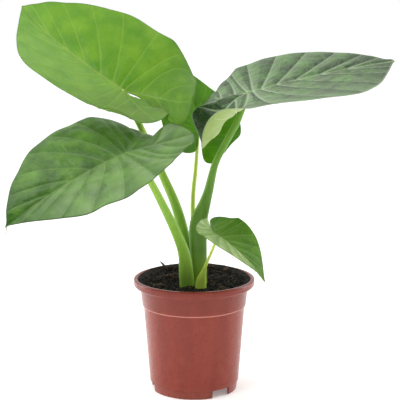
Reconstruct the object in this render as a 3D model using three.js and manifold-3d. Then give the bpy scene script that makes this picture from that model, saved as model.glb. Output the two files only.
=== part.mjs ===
// Potted alocasia: five heart-shaped leaves on fleshy stalks that rise from soil in a plastic nursery pot.
// Millimetres, +Z up. Every piece is placed from the pot's axis and from the surface that the pot stands on.
// At the end the whole plant is moved sideways, so that the origin is under the middle of its full spread.

import * as THREE from 'three';
import { mergeVertices } from 'three/addons/utils/BufferGeometryUtils.js';
import Module from 'manifold-3d';

const wasm = await Module();
wasm.setup();

// Pot: radii and heights of the outside, then the wall.
const POT_HEIGHT = 160;
const RIM_RADIUS = 85;
const RIM_BAND = 11;
const RIM_TOP_WIDTH = 4.6;
const COLLAR_TOP_RADIUS = 76;
const STEP_RADIUS = 73.2;
const STEP_HEIGHT = 122.4;
const WALL_TOP_RADIUS = 71.4;
const WALL_BOTTOM_RADIUS = 62.8;
const FOOT_RADIUS = 60.2;
const FOOT_HEIGHT = 12;
const FOOT_WIDTH = 2.4;
const WALL = 1.4;
const FLOOR = 1.8;
const POT_SIDES = 48;

// Three notches drain the space under the floor through the foot.
const NOTCH_COUNT = 3;
const NOTCH_WIDTH = 29;
const NOTCH_HEIGHT = 11;
const NOTCH_FIRST_ANGLE = -51;

// Soil and what lies on it.
const SOIL_TOP = 148;
const SOIL_HEAP = 12;
const SOIL_GAP = 0.5;
const SOIL_RINGS = 6;
const SOCKET_GAP = 0.8;
const CHIP_GAP = 0.4;
const SOIL_EDGE_GAP = 0.4;

// Leaves.
const BLADE_THICKNESS = 1.4;
const BLADE_SIDES = 40;
const BLADE_RINGS = 5;
const RIPPLES = 2.5;
const NOTCH_FROM = 0.72;
const NOTCH_TO = 0.86;
const STALK_SIDES = 12;
const STALK_STEPS = 16;
const STALK_GAP = 0.5;

const DEGREE = Math.PI / 180;

// Half of a blade laid flat, from its tip round to the notch behind the stalk. The first number runs along
// the midrib, in blade lengths ahead of the stalk and in lobe lengths behind it. The second runs across, in
// half widths.
const HALF_OUTLINE = new THREE.SplineCurve([
  [1.00, 0.00], [0.955, 0.055], [0.86, 0.21], [0.72, 0.45], [0.55, 0.70], [0.36, 0.90], [0.16, 1.00],
  [-0.05, 1.00], [-0.35, 0.93], [-0.68, 0.79], [-0.92, 0.58], [-1.00, 0.36], [-0.90, 0.17], [-0.62, 0.075],
  [-0.30, 0.035], [-0.06, 0.00],
].map(([along, across]) => new THREE.Vector2(along, across)));

// Each leaf is a stalk and a blade. `joint` is where the stalk meets the blade. `heading`, `climb` and `roll`
// turn the blade there, in degrees. Pairs give the left half and then the right half, seen from above with
// the tip ahead. `nod` is how far the midrib bends down to the tip, `sweep` how far it bends to the left and
// `twist` how far the blade turns about it. `lobeLift` bends the lobes behind the stalk up. `fold` lifts a
// half at the midrib and `curl` bends it up towards its margin, with `lobeFold` and `lobeCurl` added at the
// lobes, and `lobeSpread` opens the lobes. `notch` is how wide the gap between the lobes is, as a share of the
// outline's. `ripple` is the height of the waves at the margin, in mm.
// `route` lists points up the stalk, each with the stalk's half width and half depth there.
const leaves = [
  {
    name: 'upper_left',
    color: '#7aa63c',
    stalkColor: '#7c9a4a',
    joint: [-98, 20, 422],
    heading: 162,
    climb: 30,
    roll: -31,
    length: 240,
    lobe: [82, 115],
    halfWidth: [129, 121],
    nod: 32,
    sweep: -42,
    twist: -3,
    lobeLift: [34, 53],
    fold: [10, 18],
    curl: [36, -22],
    lobeFold: [-18, 10],
    lobeCurl: [58, -90],
    lobeSpread: [-15, -23],
    notch: 0.6,
    ripple: 1.5,
    route: [
      [-8, 12, 136, 9, 8],
      [-10, 12, 180, 9, 7.5],
      [-15, 13, 220, 8, 7],
      [-26, 19, 260, 6.8, 6.2],
      [-44, 30, 300, 5.8, 5.4],
      [-62, 39, 339, 5, 4.7],
      [-82, 36, 383, 4.4, 4.2],
    ],
  },
  {
    name: 'lower_left',
    color: '#4f7a35',
    stalkColor: '#7c9a4a',
    joint: [-89, -82, 350],
    heading: 209,
    climb: -17,
    roll: -13,
    length: 187,
    lobe: [86, 80],
    halfWidth: [110, 112],
    nod: 31,
    sweep: -12,
    twist: -17,
    lobeLift: [18, -24],
    fold: [7, 19],
    curl: [4, -29],
    lobeFold: [-30, -22],
    lobeCurl: [63, 31],
    lobeSpread: [-11, 23],
    notch: 0.2,
    ripple: 3,
    route: [
      [-9, -5, 136, 10.7, 7],
      [-11, -9, 168, 10.2, 6.8],
      [-14, -15, 198, 8.4, 6],
      [-22, -24, 226, 5.6, 5],
      [-38, -42, 266, 4.2, 4.2],
      [-57, -61, 308, 3.8, 3.8],
      [-75, -75, 334, 3.5, 3.5],
    ],
  },
  {
    name: 'right',
    color: '#6f8f68',
    stalkColor: '#6f9440',
    joint: [74, -15, 422],
    heading: 2,
    climb: 16,
    roll: 43,
    length: 236,
    lobe: [89, 91],
    halfWidth: [139, 140],
    nod: 48,
    sweep: 26,
    twist: 13,
    lobeLift: [-33, -27],
    fold: [-37, 34],
    curl: [5, 15],
    lobeFold: [8, -90],
    lobeCurl: [-17, 210],
    lobeSpread: [7, -12],
    notch: 0.15,
    ripple: 2,
    route: [
      [9, 4, 136, 9.6, 8.2],
      [6, 2, 190, 12, 7.6],
      [6, -1, 236, 12.5, 7],
      [13, -3, 267, 8.2, 6.4],
      [19, -4, 286, 6.4, 6],
      [29, -7, 322, 4.9, 4.9],
      [42, -9, 350, 4.5, 4.5],
      [58, -12, 379, 4.2, 4.2],
      [67, -13, 402, 4, 4],
    ],
  },
  {
    name: 'back',
    color: '#5c8a3a',
    stalkColor: '#9db25a',
    joint: [6, 85, 356],
    heading: 99,
    climb: 50,
    roll: 11,
    length: 121,
    lobe: [56, 58],
    halfWidth: [62, 62],
    nod: 13,
    sweep: 10,
    twist: 11,
    lobeLift: [33, 0],
    fold: [12, 10],
    curl: [4, 7],
    lobeFold: [2, 17],
    lobeCurl: [-2, 42],
    lobeSpread: [8, -7],
    notch: 1,
    ripple: 1,
    route: [
      [5, 20, 136, 4.4, 3.8],
      [0, 34, 205, 3.4, 3.2],
      [-2, 46, 248, 2.8, 2.8],
      [-1, 55, 275, 2.5, 2.5],
      [2, 65, 303, 2.2, 2.2],
      [4, 76, 332, 2, 2],
    ],
  },
  {
    name: 'small',
    color: '#568238',
    stalkColor: '#a9b860',
    joint: [30, -45, 232],
    heading: -32,
    climb: -24,
    roll: -4,
    length: 97,
    lobe: [28, 28],
    halfWidth: [53, 53],
    nod: 24,
    sweep: 0,
    twist: -7,
    lobeLift: [75, 78],
    fold: [9, 13],
    curl: [24, -10],
    lobeFold: [9, 4],
    lobeCurl: [-5, -17],
    lobeSpread: [3, 1],
    notch: 0.2,
    ripple: 1,
    route: [
      [8.8, -14, 136, 8.6, 5],
      [9.6, -14.6, 158, 7.4, 4.4],
      [12.8, -18, 172, 3.6, 2.8],
      [18, -25, 188, 1.7, 1.7],
      [24, -33, 204, 1.5, 1.5],
      [29, -40, 219, 1.4, 1.4],
    ],
  },
];

// Bits of bark and peat on the soil: where they lie, how far their middles are above the soil, their half
// sizes, and their turns about X, Y and Z in degrees. The first one leans up against the back of the rim.
const chips = [
  { place: [-41, 57], lift: 1.5, size: [9.5, 2.6, 1.8], turn: [0, 45, -38] },
  { place: [26, 66], lift: 1, size: [4.5, 3.6, 3], turn: [10, 20, 0] },
  { place: [46, 54], lift: 0.6, size: [5.5, 4, 2.6], turn: [0, -10, 60] },
  { place: [-47, -22], lift: 0.8, size: [6, 5, 3], turn: [15, 0, 20] },
  { place: [-36, 30], lift: 0.8, size: [5, 5, 3.5], turn: [0, 12, 80] },
  { place: [40, -36], lift: 0.8, size: [7, 4, 3], turn: [-12, 0, -30] },
];

const skin = (color, roughness) => new THREE.MeshStandardMaterial({ color, roughness, metalness: 0 });

// A closed mesh with its shared vertices joined and nothing but positions.
function joined(geometry) {
  geometry.deleteAttribute('normal');
  geometry.deleteAttribute('uv');
  return mergeVertices(geometry);
}

function moveVertices(geometry, move) {
  const position = geometry.getAttribute('position');
  const vertex = new THREE.Vector3();
  for (let i = 0; i < position.count; i += 1) {
    vertex.fromBufferAttribute(position, i);
    const moved = move(vertex);
    position.setXYZ(i, moved.x, moved.y, moved.z);
  }
  return geometry;
}

function toSolid(geometry) {
  const vertProperties = new Float32Array(geometry.getAttribute('position').array);
  const triVerts = new Uint32Array(geometry.getIndex().array);
  return new wasm.Manifold(new wasm.Mesh({ numProp: 3, vertProperties, triVerts }));
}

function toGeometry(solid) {
  const mesh = solid.getMesh();
  const geometry = new THREE.BufferGeometry();
  geometry.setAttribute('position', new THREE.BufferAttribute(mesh.vertProperties, 3));
  geometry.setIndex(new THREE.BufferAttribute(mesh.triVerts, 1));
  return geometry;
}

// A turned shape from [radius, height] points that start and end on the axis.
function turned(points, sides) {
  const profile = points.map(([radius, height]) => new THREE.Vector2(radius, height));
  const lathe = joined(new THREE.LatheGeometry(profile, sides));
  return lathe.rotateX(90 * DEGREE);
}

// The pot's wall runs up its outside, over the rolled rim, down its inside and across its floor.
function potGeometry() {
  const rimBottom = POT_HEIGHT - RIM_BAND;
  const footInside = FOOT_RADIUS - FOOT_WIDTH;
  const floorTop = FOOT_HEIGHT + FLOOR;
  const body = toSolid(turned([
    [0, FOOT_HEIGHT],
    [footInside, FOOT_HEIGHT],
    [footInside, 0],
    [FOOT_RADIUS, 0],
    [FOOT_RADIUS + 1.2, FOOT_HEIGHT - 1],
    [WALL_BOTTOM_RADIUS, FOOT_HEIGHT],
    [WALL_TOP_RADIUS, STEP_HEIGHT - 0.8],
    [STEP_RADIUS, STEP_HEIGHT],
    [COLLAR_TOP_RADIUS, rimBottom],
    [RIM_RADIUS - 0.8, rimBottom],
    [RIM_RADIUS, rimBottom + 1],
    [RIM_RADIUS, POT_HEIGHT - 1.2],
    [RIM_RADIUS - 1.2, POT_HEIGHT],
    [RIM_RADIUS - RIM_TOP_WIDTH + 1, POT_HEIGHT],
    [RIM_RADIUS - RIM_TOP_WIDTH, POT_HEIGHT - 1],
    [COLLAR_TOP_RADIUS - WALL, rimBottom + WALL],
    [STEP_RADIUS - WALL, STEP_HEIGHT + 1],
    [WALL_TOP_RADIUS - WALL, STEP_HEIGHT - 1.2],
    [WALL_BOTTOM_RADIUS - WALL, floorTop + 1],
    [WALL_BOTTOM_RADIUS - WALL - 1, floorTop],
    [0, floorTop],
  ], POT_SIDES));
  const notches = Array.from({ length: NOTCH_COUNT }, (_, i) => {
    const cutter = joined(new THREE.BoxGeometry(3 * FOOT_WIDTH + 4, NOTCH_WIDTH, 2 * NOTCH_HEIGHT));
    cutter.translate(FOOT_RADIUS - FOOT_WIDTH / 2, 0, 0);
    cutter.rotateZ((NOTCH_FIRST_ANGLE + (360 / NOTCH_COUNT) * i) * DEGREE);
    return toSolid(cutter);
  });
  return toGeometry(notches.reduce((pot, notch) => pot.subtract(notch), body));
}

// Soil is heaped against the pot's wall, most of all at the back, and settles elsewhere in low mounds that die
// away at the wall.
function soilHeight(x, y) {
  const reach = Math.hypot(x, y) / COLLAR_TOP_RADIUS;
  const heap = SOIL_HEAP * reach ** 2 * (0.75 + (0.25 * y) / COLLAR_TOP_RADIUS);
  const mound = 1.4 * Math.sin(x / 11 + 1) * Math.cos(y / 9) + Math.sin(x / 6 - y / 7);
  return SOIL_TOP + heap + (1 - reach ** 4) * mound;
}

// Soil fills the pot up to SOIL_TOP, with a socket round each stalk and each half-buried chip.
function soilGeometry() {
  const inset = WALL + SOIL_GAP;
  const floorTop = FOOT_HEIGHT + FLOOR;
  const edge = COLLAR_TOP_RADIUS - inset - SOIL_EDGE_GAP;
  const rings = Array.from({ length: SOIL_RINGS }, (_, i) => [edge * (1 - i / SOIL_RINGS), SOIL_TOP]);
  const bulk = turned([
    [0, floorTop + SOIL_GAP],
    [WALL_BOTTOM_RADIUS - inset - 1.5, floorTop + SOIL_GAP],
    [WALL_BOTTOM_RADIUS - inset, floorTop + 2],
    [WALL_TOP_RADIUS - inset, STEP_HEIGHT - 1],
    [STEP_RADIUS - inset, STEP_HEIGHT + 1.6],
    ...rings,
    [0, SOIL_TOP],
  ], POT_SIDES);
  moveVertices(bulk, (v) => (v.z < SOIL_TOP - 1 ? v : new THREE.Vector3(v.x, v.y, soilHeight(v.x, v.y))));
  const sockets = [
    ...leaves.map((leaf) => stalkGeometry(leaf, SOCKET_GAP)),
    ...chips.map((chip) => chipGeometry(chip, CHIP_GAP)),
  ];
  return toGeometry(sockets.reduce((soil, socket) => soil.subtract(toSolid(socket)), toSolid(bulk)));
}

// Where a curve gets to that starts at angle `start` and turns by `rate` radians in each mm.
function arcPoint(start, rate, distance) {
  const half = (rate * distance) / 2;
  const chord = Math.abs(half) < 1e-6 ? distance : (distance * Math.sin(half)) / half;
  return [chord * Math.cos(start + half), chord * Math.sin(start + half)];
}

// The blade's own directions at the stalk: ahead to the tip, to its left, and up from its face.
function bladeAxes(leaf) {
  const heading = leaf.heading * DEGREE;
  const climb = leaf.climb * DEGREE;
  const roll = leaf.roll * DEGREE;
  const ahead = new THREE.Vector3(
    Math.cos(climb) * Math.cos(heading), Math.cos(climb) * Math.sin(heading), Math.sin(climb));
  const left = new THREE.Vector3(-Math.sin(heading), Math.cos(heading), 0);
  const up = new THREE.Vector3().crossVectors(ahead, left);
  return {
    ahead,
    left: left.clone().multiplyScalar(Math.cos(roll)).addScaledVector(up, Math.sin(roll)),
    up: up.clone().multiplyScalar(Math.cos(roll)).addScaledVector(left, -Math.sin(roll)),
  };
}

// Place of a flat blade's point (x ahead, y out from the midrib on `side`) once the blade is bent, moved
// `offset` out of its face. Side 0 is the left half and side 1 the right half.
function bladePoint(leaf, axes, side, x, y, offset) {
  const lobe = leaf.lobe[side];
  const back = THREE.MathUtils.smoothstep(-x, 0, lobe);
  const width = y + Math.tan(leaf.lobeSpread[side] * DEGREE) * Math.max(-x, 0) * back;
  const bend = (x >= 0 ? -leaf.nod / leaf.length : leaf.lobeLift[side] / lobe) * DEGREE;
  const [run, rise] = arcPoint(0, bend, x);
  const pitch = bend * x;
  const face = axes.up.clone().multiplyScalar(Math.cos(pitch)).addScaledVector(axes.ahead, -Math.sin(pitch));
  const turn = ((leaf.twist * x) / leaf.length) * DEGREE;
  const across = axes.left.clone().multiplyScalar(Math.cos(turn)).addScaledVector(face, Math.sin(turn));
  const normal = face.clone().multiplyScalar(Math.cos(turn)).addScaledVector(axes.left, -Math.sin(turn));
  const drift = ((0.5 * leaf.sweep * DEGREE) / leaf.length) * Math.max(x, 0) ** 2;
  const sign = side === 0 ? 1 : -1;
  const fold = [0, 1].map((half) => (leaf.fold[half] + leaf.lobeFold[half] * back) * DEGREE);
  const curl = ((leaf.curl[side] + leaf.lobeCurl[side] * back) * DEGREE) / leaf.halfWidth[side];
  const [out, lift] = arcPoint(fold[side], curl, width);
  const tilt = y === 0 ? (fold[0] - fold[1]) / 2 : sign * (fold[side] + curl * width);
  return new THREE.Vector3(...leaf.joint)
    .addScaledVector(axes.ahead, run)
    .addScaledVector(axes.up, rise)
    .addScaledVector(across, drift + sign * out - offset * Math.sin(tilt))
    .addScaledVector(normal, lift + offset * Math.cos(tilt));
}

// A blade is a flattened ball: its poles lie where the stalk joins and its equator is the margin.
function bladeGeometry(leaf) {
  const axes = bladeAxes(leaf);
  const ball = joined(new THREE.SphereGeometry(1, BLADE_SIDES, 2 * BLADE_RINGS));
  return moveVertices(ball, (v) => {
    const angle = Math.hypot(v.x, v.z) < 1e-6 ? 0 : Math.atan2(-v.z, v.x);
    const side = angle >= 0 ? 0 : 1;
    const toNotch = Math.abs(angle) / Math.PI;
    const toMargin = Math.acos(Math.min(Math.abs(v.y), 1)) / (Math.PI / 2);
    const edge = HALF_OUTLINE.getPoint(toNotch);
    const x = toMargin * edge.x * (edge.x > 0 ? leaf.length : leaf.lobe[side]);
    const closing = 1 - (1 - leaf.notch) * THREE.MathUtils.smoothstep(toNotch, NOTCH_FROM, NOTCH_TO);
    const y = toMargin * edge.y * closing * leaf.halfWidth[side];
    const flat = toMargin < 0.99 ? (Math.sign(v.y) * BLADE_THICKNESS) / 2 : 0;
    const ripple = leaf.ripple * toMargin ** 3 * Math.sin(2 * Math.PI * RIPPLES * toNotch);
    return bladePoint(leaf, axes, side, x, y < 1e-6 ? 0 : y, flat + ripple);
  });
}

// A stalk is a bent, tapering tube of oval section. `gap` makes it fatter and deeper, to cut its socket.
function stalkGeometry(leaf, gap) {
  const axes = bladeAxes(leaf);
  const joint = new THREE.Vector3(...leaf.joint);
  const route = leaf.route.map(([x, y, z]) => new THREE.Vector3(x, y, z));
  const underside = bladePoint(leaf, axes, 0, 0, 0, 1).sub(joint);
  const arrival = joint.clone().sub(route.at(-1)).normalize();
  const endWidth = leaf.route.at(-1)[3];
  const slant = Math.sqrt(Math.max(1 - arrival.dot(underside) ** 2, 0));
  route.push(joint.addScaledVector(underside, -BLADE_THICKNESS / 2 - STALK_GAP - endWidth * slant));
  const path = new THREE.CatmullRomCurve3(route, false, 'catmullrom', 0.5);
  const sizes = new THREE.CatmullRomCurve3(
    [...leaf.route, leaf.route.at(-1)].map((point) => new THREE.Vector3(point[3], point[4], 0)));
  const tube = joined(new THREE.CylinderGeometry(1, 1, 1, STALK_SIDES, STALK_STEPS));
  return moveVertices(tube, (v) => {
    const t = THREE.MathUtils.clamp(v.y + 0.5, 0, 1);
    const along = path.getTangent(t);
    const wide = new THREE.Vector3(0, -1, 0).cross(along).normalize();
    const deep = new THREE.Vector3().crossVectors(wide, along);
    const size = sizes.getPoint(t);
    return path.getPoint(t)
      .addScaledVector(wide, v.x * (size.x + gap))
      .addScaledVector(deep, v.z * (size.y + gap))
      .addScaledVector(along, t === 0 ? -gap : 0);
  });
}

// A chip is a flattened, uneven pebble shape.
function chipGeometry(chip, gap) {
  const pebble = joined(new THREE.IcosahedronGeometry(1, 1));
  moveVertices(pebble, (v) => v.clone().multiplyScalar(1 + 0.12 * Math.sin(5 * v.x + 3 * v.y + chip.size[0])));
  pebble.scale(chip.size[0] + gap, chip.size[1] + gap, chip.size[2] + gap);
  const [turnX, turnY, turnZ] = chip.turn;
  pebble.rotateX(turnX * DEGREE).rotateY(turnY * DEGREE).rotateZ(turnZ * DEGREE);
  const [x, y] = chip.place;
  return pebble.translate(x, y, soilHeight(x, y) + chip.lift);
}

const plant = new THREE.Group();

function add(name, geometry, material) {
  const mesh = new THREE.Mesh(geometry, material);
  mesh.name = name;
  plant.add(mesh);
}

add('pot', potGeometry(), skin('#9a4b3f', 0.45));
add('soil', soilGeometry(), skin('#241a14', 0.95));
for (const leaf of leaves) {
  add(`stalk_${leaf.name}`, stalkGeometry(leaf, 0), skin(leaf.stalkColor, 0.45));
  add(`blade_${leaf.name}`, bladeGeometry(leaf), skin(leaf.color, 0.5));
}
chips.forEach((chip, i) => {
  add(`bark_chip_${i + 1}`, chipGeometry(chip, 0), skin('#2e211a', 0.9));
});

const spread = new THREE.Box3().setFromObject(plant).getCenter(new THREE.Vector3());
plant.position.set(-spread.x, -spread.y, 0);

const pottedAlocasia = new THREE.Group();
pottedAlocasia.add(plant);

export default pottedAlocasia;
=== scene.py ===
import math

import bpy
import bmesh
import numpy as np
from mathutils import Euler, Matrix, Vector, geometry, kdtree, noise


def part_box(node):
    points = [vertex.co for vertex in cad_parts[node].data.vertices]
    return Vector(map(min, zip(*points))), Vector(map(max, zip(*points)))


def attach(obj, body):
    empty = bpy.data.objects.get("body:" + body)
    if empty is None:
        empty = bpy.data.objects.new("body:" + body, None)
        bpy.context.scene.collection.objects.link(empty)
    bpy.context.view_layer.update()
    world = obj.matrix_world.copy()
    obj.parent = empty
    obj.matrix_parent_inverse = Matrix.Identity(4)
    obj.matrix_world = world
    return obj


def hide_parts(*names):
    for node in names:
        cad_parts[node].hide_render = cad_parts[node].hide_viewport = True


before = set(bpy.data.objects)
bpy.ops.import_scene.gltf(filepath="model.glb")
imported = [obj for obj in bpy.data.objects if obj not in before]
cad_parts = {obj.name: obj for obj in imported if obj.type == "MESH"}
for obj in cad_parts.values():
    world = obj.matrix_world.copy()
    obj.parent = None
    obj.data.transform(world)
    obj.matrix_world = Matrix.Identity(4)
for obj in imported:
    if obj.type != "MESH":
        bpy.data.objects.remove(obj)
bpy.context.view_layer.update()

MM = 0.001


# ---------------------------------------------------------------------------------------------------------
# Pot: a thin-walled nursery pot, injection-moulded in terracotta-coloured polypropylene. It has a rolled
# rim, a collar that ends in a step, a tapered wall, and a foot ring with three drain notches cut in it.

pot_low, pot_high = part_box("pot")
AXIS = Vector(((pot_low.x + pot_high.x) / 2, (pot_low.y + pot_high.y) / 2, 0))
POT_HEIGHT = 160
RIM_RADIUS = 85
RIM_BAND = 11
COLLAR_TOP_RADIUS = 76
STEP_RADIUS = 73.2
STEP_HEIGHT = 122.4
WALL_TOP_RADIUS = 71.4
WALL_BOTTOM_RADIUS = 62.8
FOOT_RADIUS = 60.2
FOOT_HEIGHT = 12
FOOT_WIDTH = 2.4
WALL = 1.4
FLOOR_TOP = 13.8
NOTCH_WIDTH = 29
NOTCH_HEIGHT = 11
NOTCH_FIRST_ANGLE = -51
POT_SIDES = 160


def rounded(corners, steps=4):
    """An outline through (x, y, radius) corners. A corner with a radius becomes an arc."""
    outline = []
    for i, (x, y, radius) in enumerate(corners):
        here = Vector((x, y))
        if radius == 0:
            outline.append(here)
            continue
        back = (Vector(corners[i - 1][:2]) - here).normalized()
        on = (Vector(corners[(i + 1) % len(corners)][:2]) - here).normalized()
        half = back.angle(on) / 2
        centre = here + (back + on).normalized() * radius / math.sin(half)
        start = here + back * radius / math.tan(half) - centre
        turn = start.angle_signed(here + on * radius / math.tan(half) - centre)
        for k in range(steps + 1):
            angle = -turn * k / steps
            c, s = math.cos(angle), math.sin(angle)
            outline.append(centre + Vector((start.x * c - start.y * s, start.x * s + start.y * c)))
    return outline


def mesh_object(name, mesh):
    made = bpy.data.objects.new(name, mesh)
    bpy.context.scene.collection.objects.link(made)
    return made


def turned(name, outline, sides):
    """A closed lathe shape about the pot's axis, from points in mm that start and end on the axis."""
    shape = bmesh.new()
    ring = [shape.verts.new((p.x * MM + AXIS.x, AXIS.y, p.y * MM)) for p in outline]
    edges = [shape.edges.new(pair) for pair in zip(ring, ring[1:])]
    bmesh.ops.spin(shape, geom=ring + edges, cent=AXIS, axis=(0, 0, 1), angle=math.tau, steps=sides)
    bmesh.ops.remove_doubles(shape, verts=shape.verts, dist=0.01 * MM)
    bmesh.ops.recalc_face_normals(shape, faces=shape.faces)
    mesh = bpy.data.meshes.new(name)
    shape.to_mesh(mesh)
    shape.free()
    return mesh_object(name, mesh)


def settled(piece):
    """Turns a piece and its modifiers into a plain mesh."""
    bpy.context.view_layer.update()
    depsgraph = bpy.context.evaluated_depsgraph_get()
    mesh = bpy.data.meshes.new_from_object(piece.evaluated_get(depsgraph))
    piece.modifiers.clear()
    piece.data = mesh
    return piece


def add(tree, kind, inputs=(), **settings):
    """Adds a node. inputs gives each socket, by name or number, a value or the socket that feeds it."""
    made = tree.nodes.new(kind)
    for name, value in settings.items():
        setattr(made, name, value)
    for key, value in dict(inputs).items():
        if isinstance(value, bpy.types.NodeSocket):
            tree.links.new(value, made.inputs[key])
        else:
            made.inputs[key].default_value = value
    return made


def srgb(code):
    """A linear colour with alpha from an sRGB hex code."""
    parts = [int(code[i:i + 2], 16) / 255 for i in (1, 3, 5)]
    return (*[c / 12.92 if c <= 0.04045 else ((c + 0.055) / 1.055) ** 2.4 for c in parts], 1)


def blank_material(name):
    material = bpy.data.materials.new(name)
    material.use_nodes = True
    material.node_tree.nodes.clear()
    return material, material.node_tree


def mixed(tree, amount, first, second):
    """The colour socket of a mix from first to second."""
    return add(tree, "ShaderNodeMix", {0: amount, 6: first, 7: second}, data_type="RGBA").outputs[2]


def ranged(tree, value, low, high, start=0.0, end=1.0):
    """A value that goes from start to end as it goes from low to high."""
    return add(tree, "ShaderNodeMapRange", {
        "Value": value, "From Min": low, "From Max": high, "To Min": start, "To Max": end}).outputs[0]


def moulded_polypropylene():
    """Terracotta polypropylene, moulded: even and satin, with faint flow marks and a little dust.
    Painted shade darkens the collar above the step, and a thin painted highlight runs along the step."""
    material, tree = blank_material("Moulded terracotta polypropylene")
    place = add(tree, "ShaderNodeTexCoord").outputs["Object"]
    drawn = add(tree, "ShaderNodeMapping", {"Vector": place, "Scale": (60, 60, 7)}).outputs[0]
    flow = add(tree, "ShaderNodeTexNoise", {"Vector": drawn, "Scale": 1.0, "Detail": 3.0}).outputs[0]
    scuffs = add(tree, "ShaderNodeTexNoise", {"Vector": place, "Scale": 90.0, "Detail": 6.0}).outputs[0]
    height = add(tree, "ShaderNodeSeparateXYZ", {0: place}).outputs["Z"]
    body = mixed(tree, ranged(tree, flow, 0.35, 0.65), srgb("#7c2615"), srgb("#872d1a"))
    worn = mixed(tree, ranged(tree, scuffs, 0.56, 0.78, 0.0, 0.3), body, srgb("#a3523e"))
    from_step = add(tree, "ShaderNodeMath", {0: height, 1: -(STEP_HEIGHT - 0.6) * MM},
                    operation="ADD").outputs[0]
    off_step = add(tree, "ShaderNodeMath", {0: from_step}, operation="ABSOLUTE").outputs[0]
    # Painted shade: the collar above the step is painted darker.
    collar_painted_shade = mixed(tree, ranged(tree, height, 0.1225, 0.127, 0.0, 0.35), worn, srgb("#6d2214"))
    # Painted highlight: a thin pale line is painted along the step.
    step_painted_highlight = mixed(tree, ranged(tree, off_step, 0.6 * MM, 1.2 * MM, 0.75, 0.0), collar_painted_shade, srgb("#d08e7e"))
    dusty = mixed(tree, ranged(tree, height, 0.02, 0.0, 0.0, 0.12), step_painted_highlight, srgb("#a9806f"))
    grain = add(tree, "ShaderNodeTexNoise", {"Vector": place, "Scale": 1400.0, "Detail": 2.0}).outputs[0]
    bump = add(tree, "ShaderNodeBump", {"Height": grain, "Strength": 0.05, "Distance": 0.04 * MM}).outputs[0]
    shader = add(tree, "ShaderNodeBsdfPrincipled", {
        "Base Color": dusty, "Roughness": ranged(tree, scuffs, 0.3, 0.7, 0.24, 0.36), "IOR": 1.49,
        "Specular IOR Level": 0.4, "Normal": bump, "Sheen Weight": 0.16, "Sheen Roughness": 0.25})
    add(tree, "ShaderNodeOutputMaterial", {"Surface": shader.outputs[0]})
    return material


foot_inside = FOOT_RADIUS - FOOT_WIDTH
rim_bottom = POT_HEIGHT - RIM_BAND
pot = turned("nursery_pot", rounded([
    (0, FOOT_HEIGHT, 0),
    (foot_inside, FOOT_HEIGHT, 0.6),
    (foot_inside, 0, 0.6),
    (FOOT_RADIUS, 0, 0.8),
    (FOOT_RADIUS + 1.2, FOOT_HEIGHT - 1, 0.6),
    (WALL_BOTTOM_RADIUS, FOOT_HEIGHT, 0.6),
    (WALL_TOP_RADIUS, STEP_HEIGHT - 1.6, 0.4),
    (STEP_RADIUS, STEP_HEIGHT, 0.7),
    (COLLAR_TOP_RADIUS, rim_bottom, 3.5),
    (RIM_RADIUS, rim_bottom, 3.5),
    (RIM_RADIUS, POT_HEIGHT, 1.8),
    (RIM_RADIUS - 4.6, POT_HEIGHT, 1.6),
    (COLLAR_TOP_RADIUS - WALL, rim_bottom + WALL, 1.5),
    (STEP_RADIUS - WALL, STEP_HEIGHT + 1, 0.4),
    (WALL_TOP_RADIUS - WALL, STEP_HEIGHT - 1.2, 0.4),
    (WALL_BOTTOM_RADIUS - WALL, FLOOR_TOP, 0.9),
    (0, FLOOR_TOP, 0),
]), POT_SIDES)

notch_cutters = []
for i in range(3):
    angle = math.radians(NOTCH_FIRST_ANGLE + 120 * i)
    shape = bmesh.new()
    bmesh.ops.create_cube(shape, size=1)
    size = Vector((FOOT_WIDTH * 3 + 4, NOTCH_WIDTH, 2 * NOTCH_HEIGHT)) * MM
    bmesh.ops.scale(shape, vec=size, verts=shape.verts)
    bmesh.ops.translate(shape, vec=((FOOT_RADIUS - FOOT_WIDTH / 2) * MM, 0, 0), verts=shape.verts)
    bmesh.ops.rotate(shape, matrix=Euler((0, 0, angle)).to_matrix(), verts=shape.verts)
    bmesh.ops.translate(shape, vec=AXIS, verts=shape.verts)
    mesh = bpy.data.meshes.new("notch_cutter")
    shape.to_mesh(mesh)
    shape.free()
    cutter = mesh_object("notch_cutter", mesh)
    cut = pot.modifiers.new("Drain notch", "BOOLEAN")
    cut.operation = "DIFFERENCE"
    cut.solver = "EXACT"
    cut.object = cutter
    notch_cutters.append(cutter)
settled(pot)
for cutter in notch_cutters:
    bpy.data.objects.remove(cutter)
pot.data.shade_smooth()
pot.data.set_sharp_from_angle(angle=math.radians(38))
pot.data.materials.clear()
pot.data.materials.append(moulded_polypropylene())
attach(pot, "root")
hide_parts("pot")


# ---------------------------------------------------------------------------------------------------------
# Potting soil: dark peat, pressed down round the stalks and heaped against the wall, most of all at the
# back. Crumbs, brown bark bits and pale root fibres lie loose on its surface.

SOIL_TOP = 148
SOIL_HEAP = 12
SOIL_RINGS = 56
SOIL_SIDES = 224
SOIL_BOTTOM = FLOOR_TOP + 0.5
# Heights of the rings that carry the soil down along the inside of the wall.
SKIRT = (rim_bottom + WALL, STEP_HEIGHT + 1, STEP_HEIGHT - 2, SOIL_BOTTOM)


def soil_height(x, y):
    """Height of the settled soil, in mm, at a place in mm from the pot's axis."""
    reach = math.hypot(x, y) / COLLAR_TOP_RADIUS
    heap = SOIL_HEAP * reach ** 2 * (0.75 + 0.25 * y / COLLAR_TOP_RADIUS)
    mound = 1.4 * math.sin(x / 11 + 1) * math.cos(y / 9) + math.sin(x / 6 - y / 7)
    return SOIL_TOP + heap + (1 - min(reach, 1) ** 4) * mound


def wall_inside(z):
    """Radius of the pot's inside, in mm, at a height in mm."""
    heights = (FLOOR_TOP, STEP_HEIGHT - 1.2, STEP_HEIGHT + 1, rim_bottom + WALL, POT_HEIGHT)
    radii = (WALL_BOTTOM_RADIUS, WALL_TOP_RADIUS, STEP_RADIUS, COLLAR_TOP_RADIUS, RIM_RADIUS - 3.2)
    return float(np.interp(z, heights, radii)) - WALL


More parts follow.
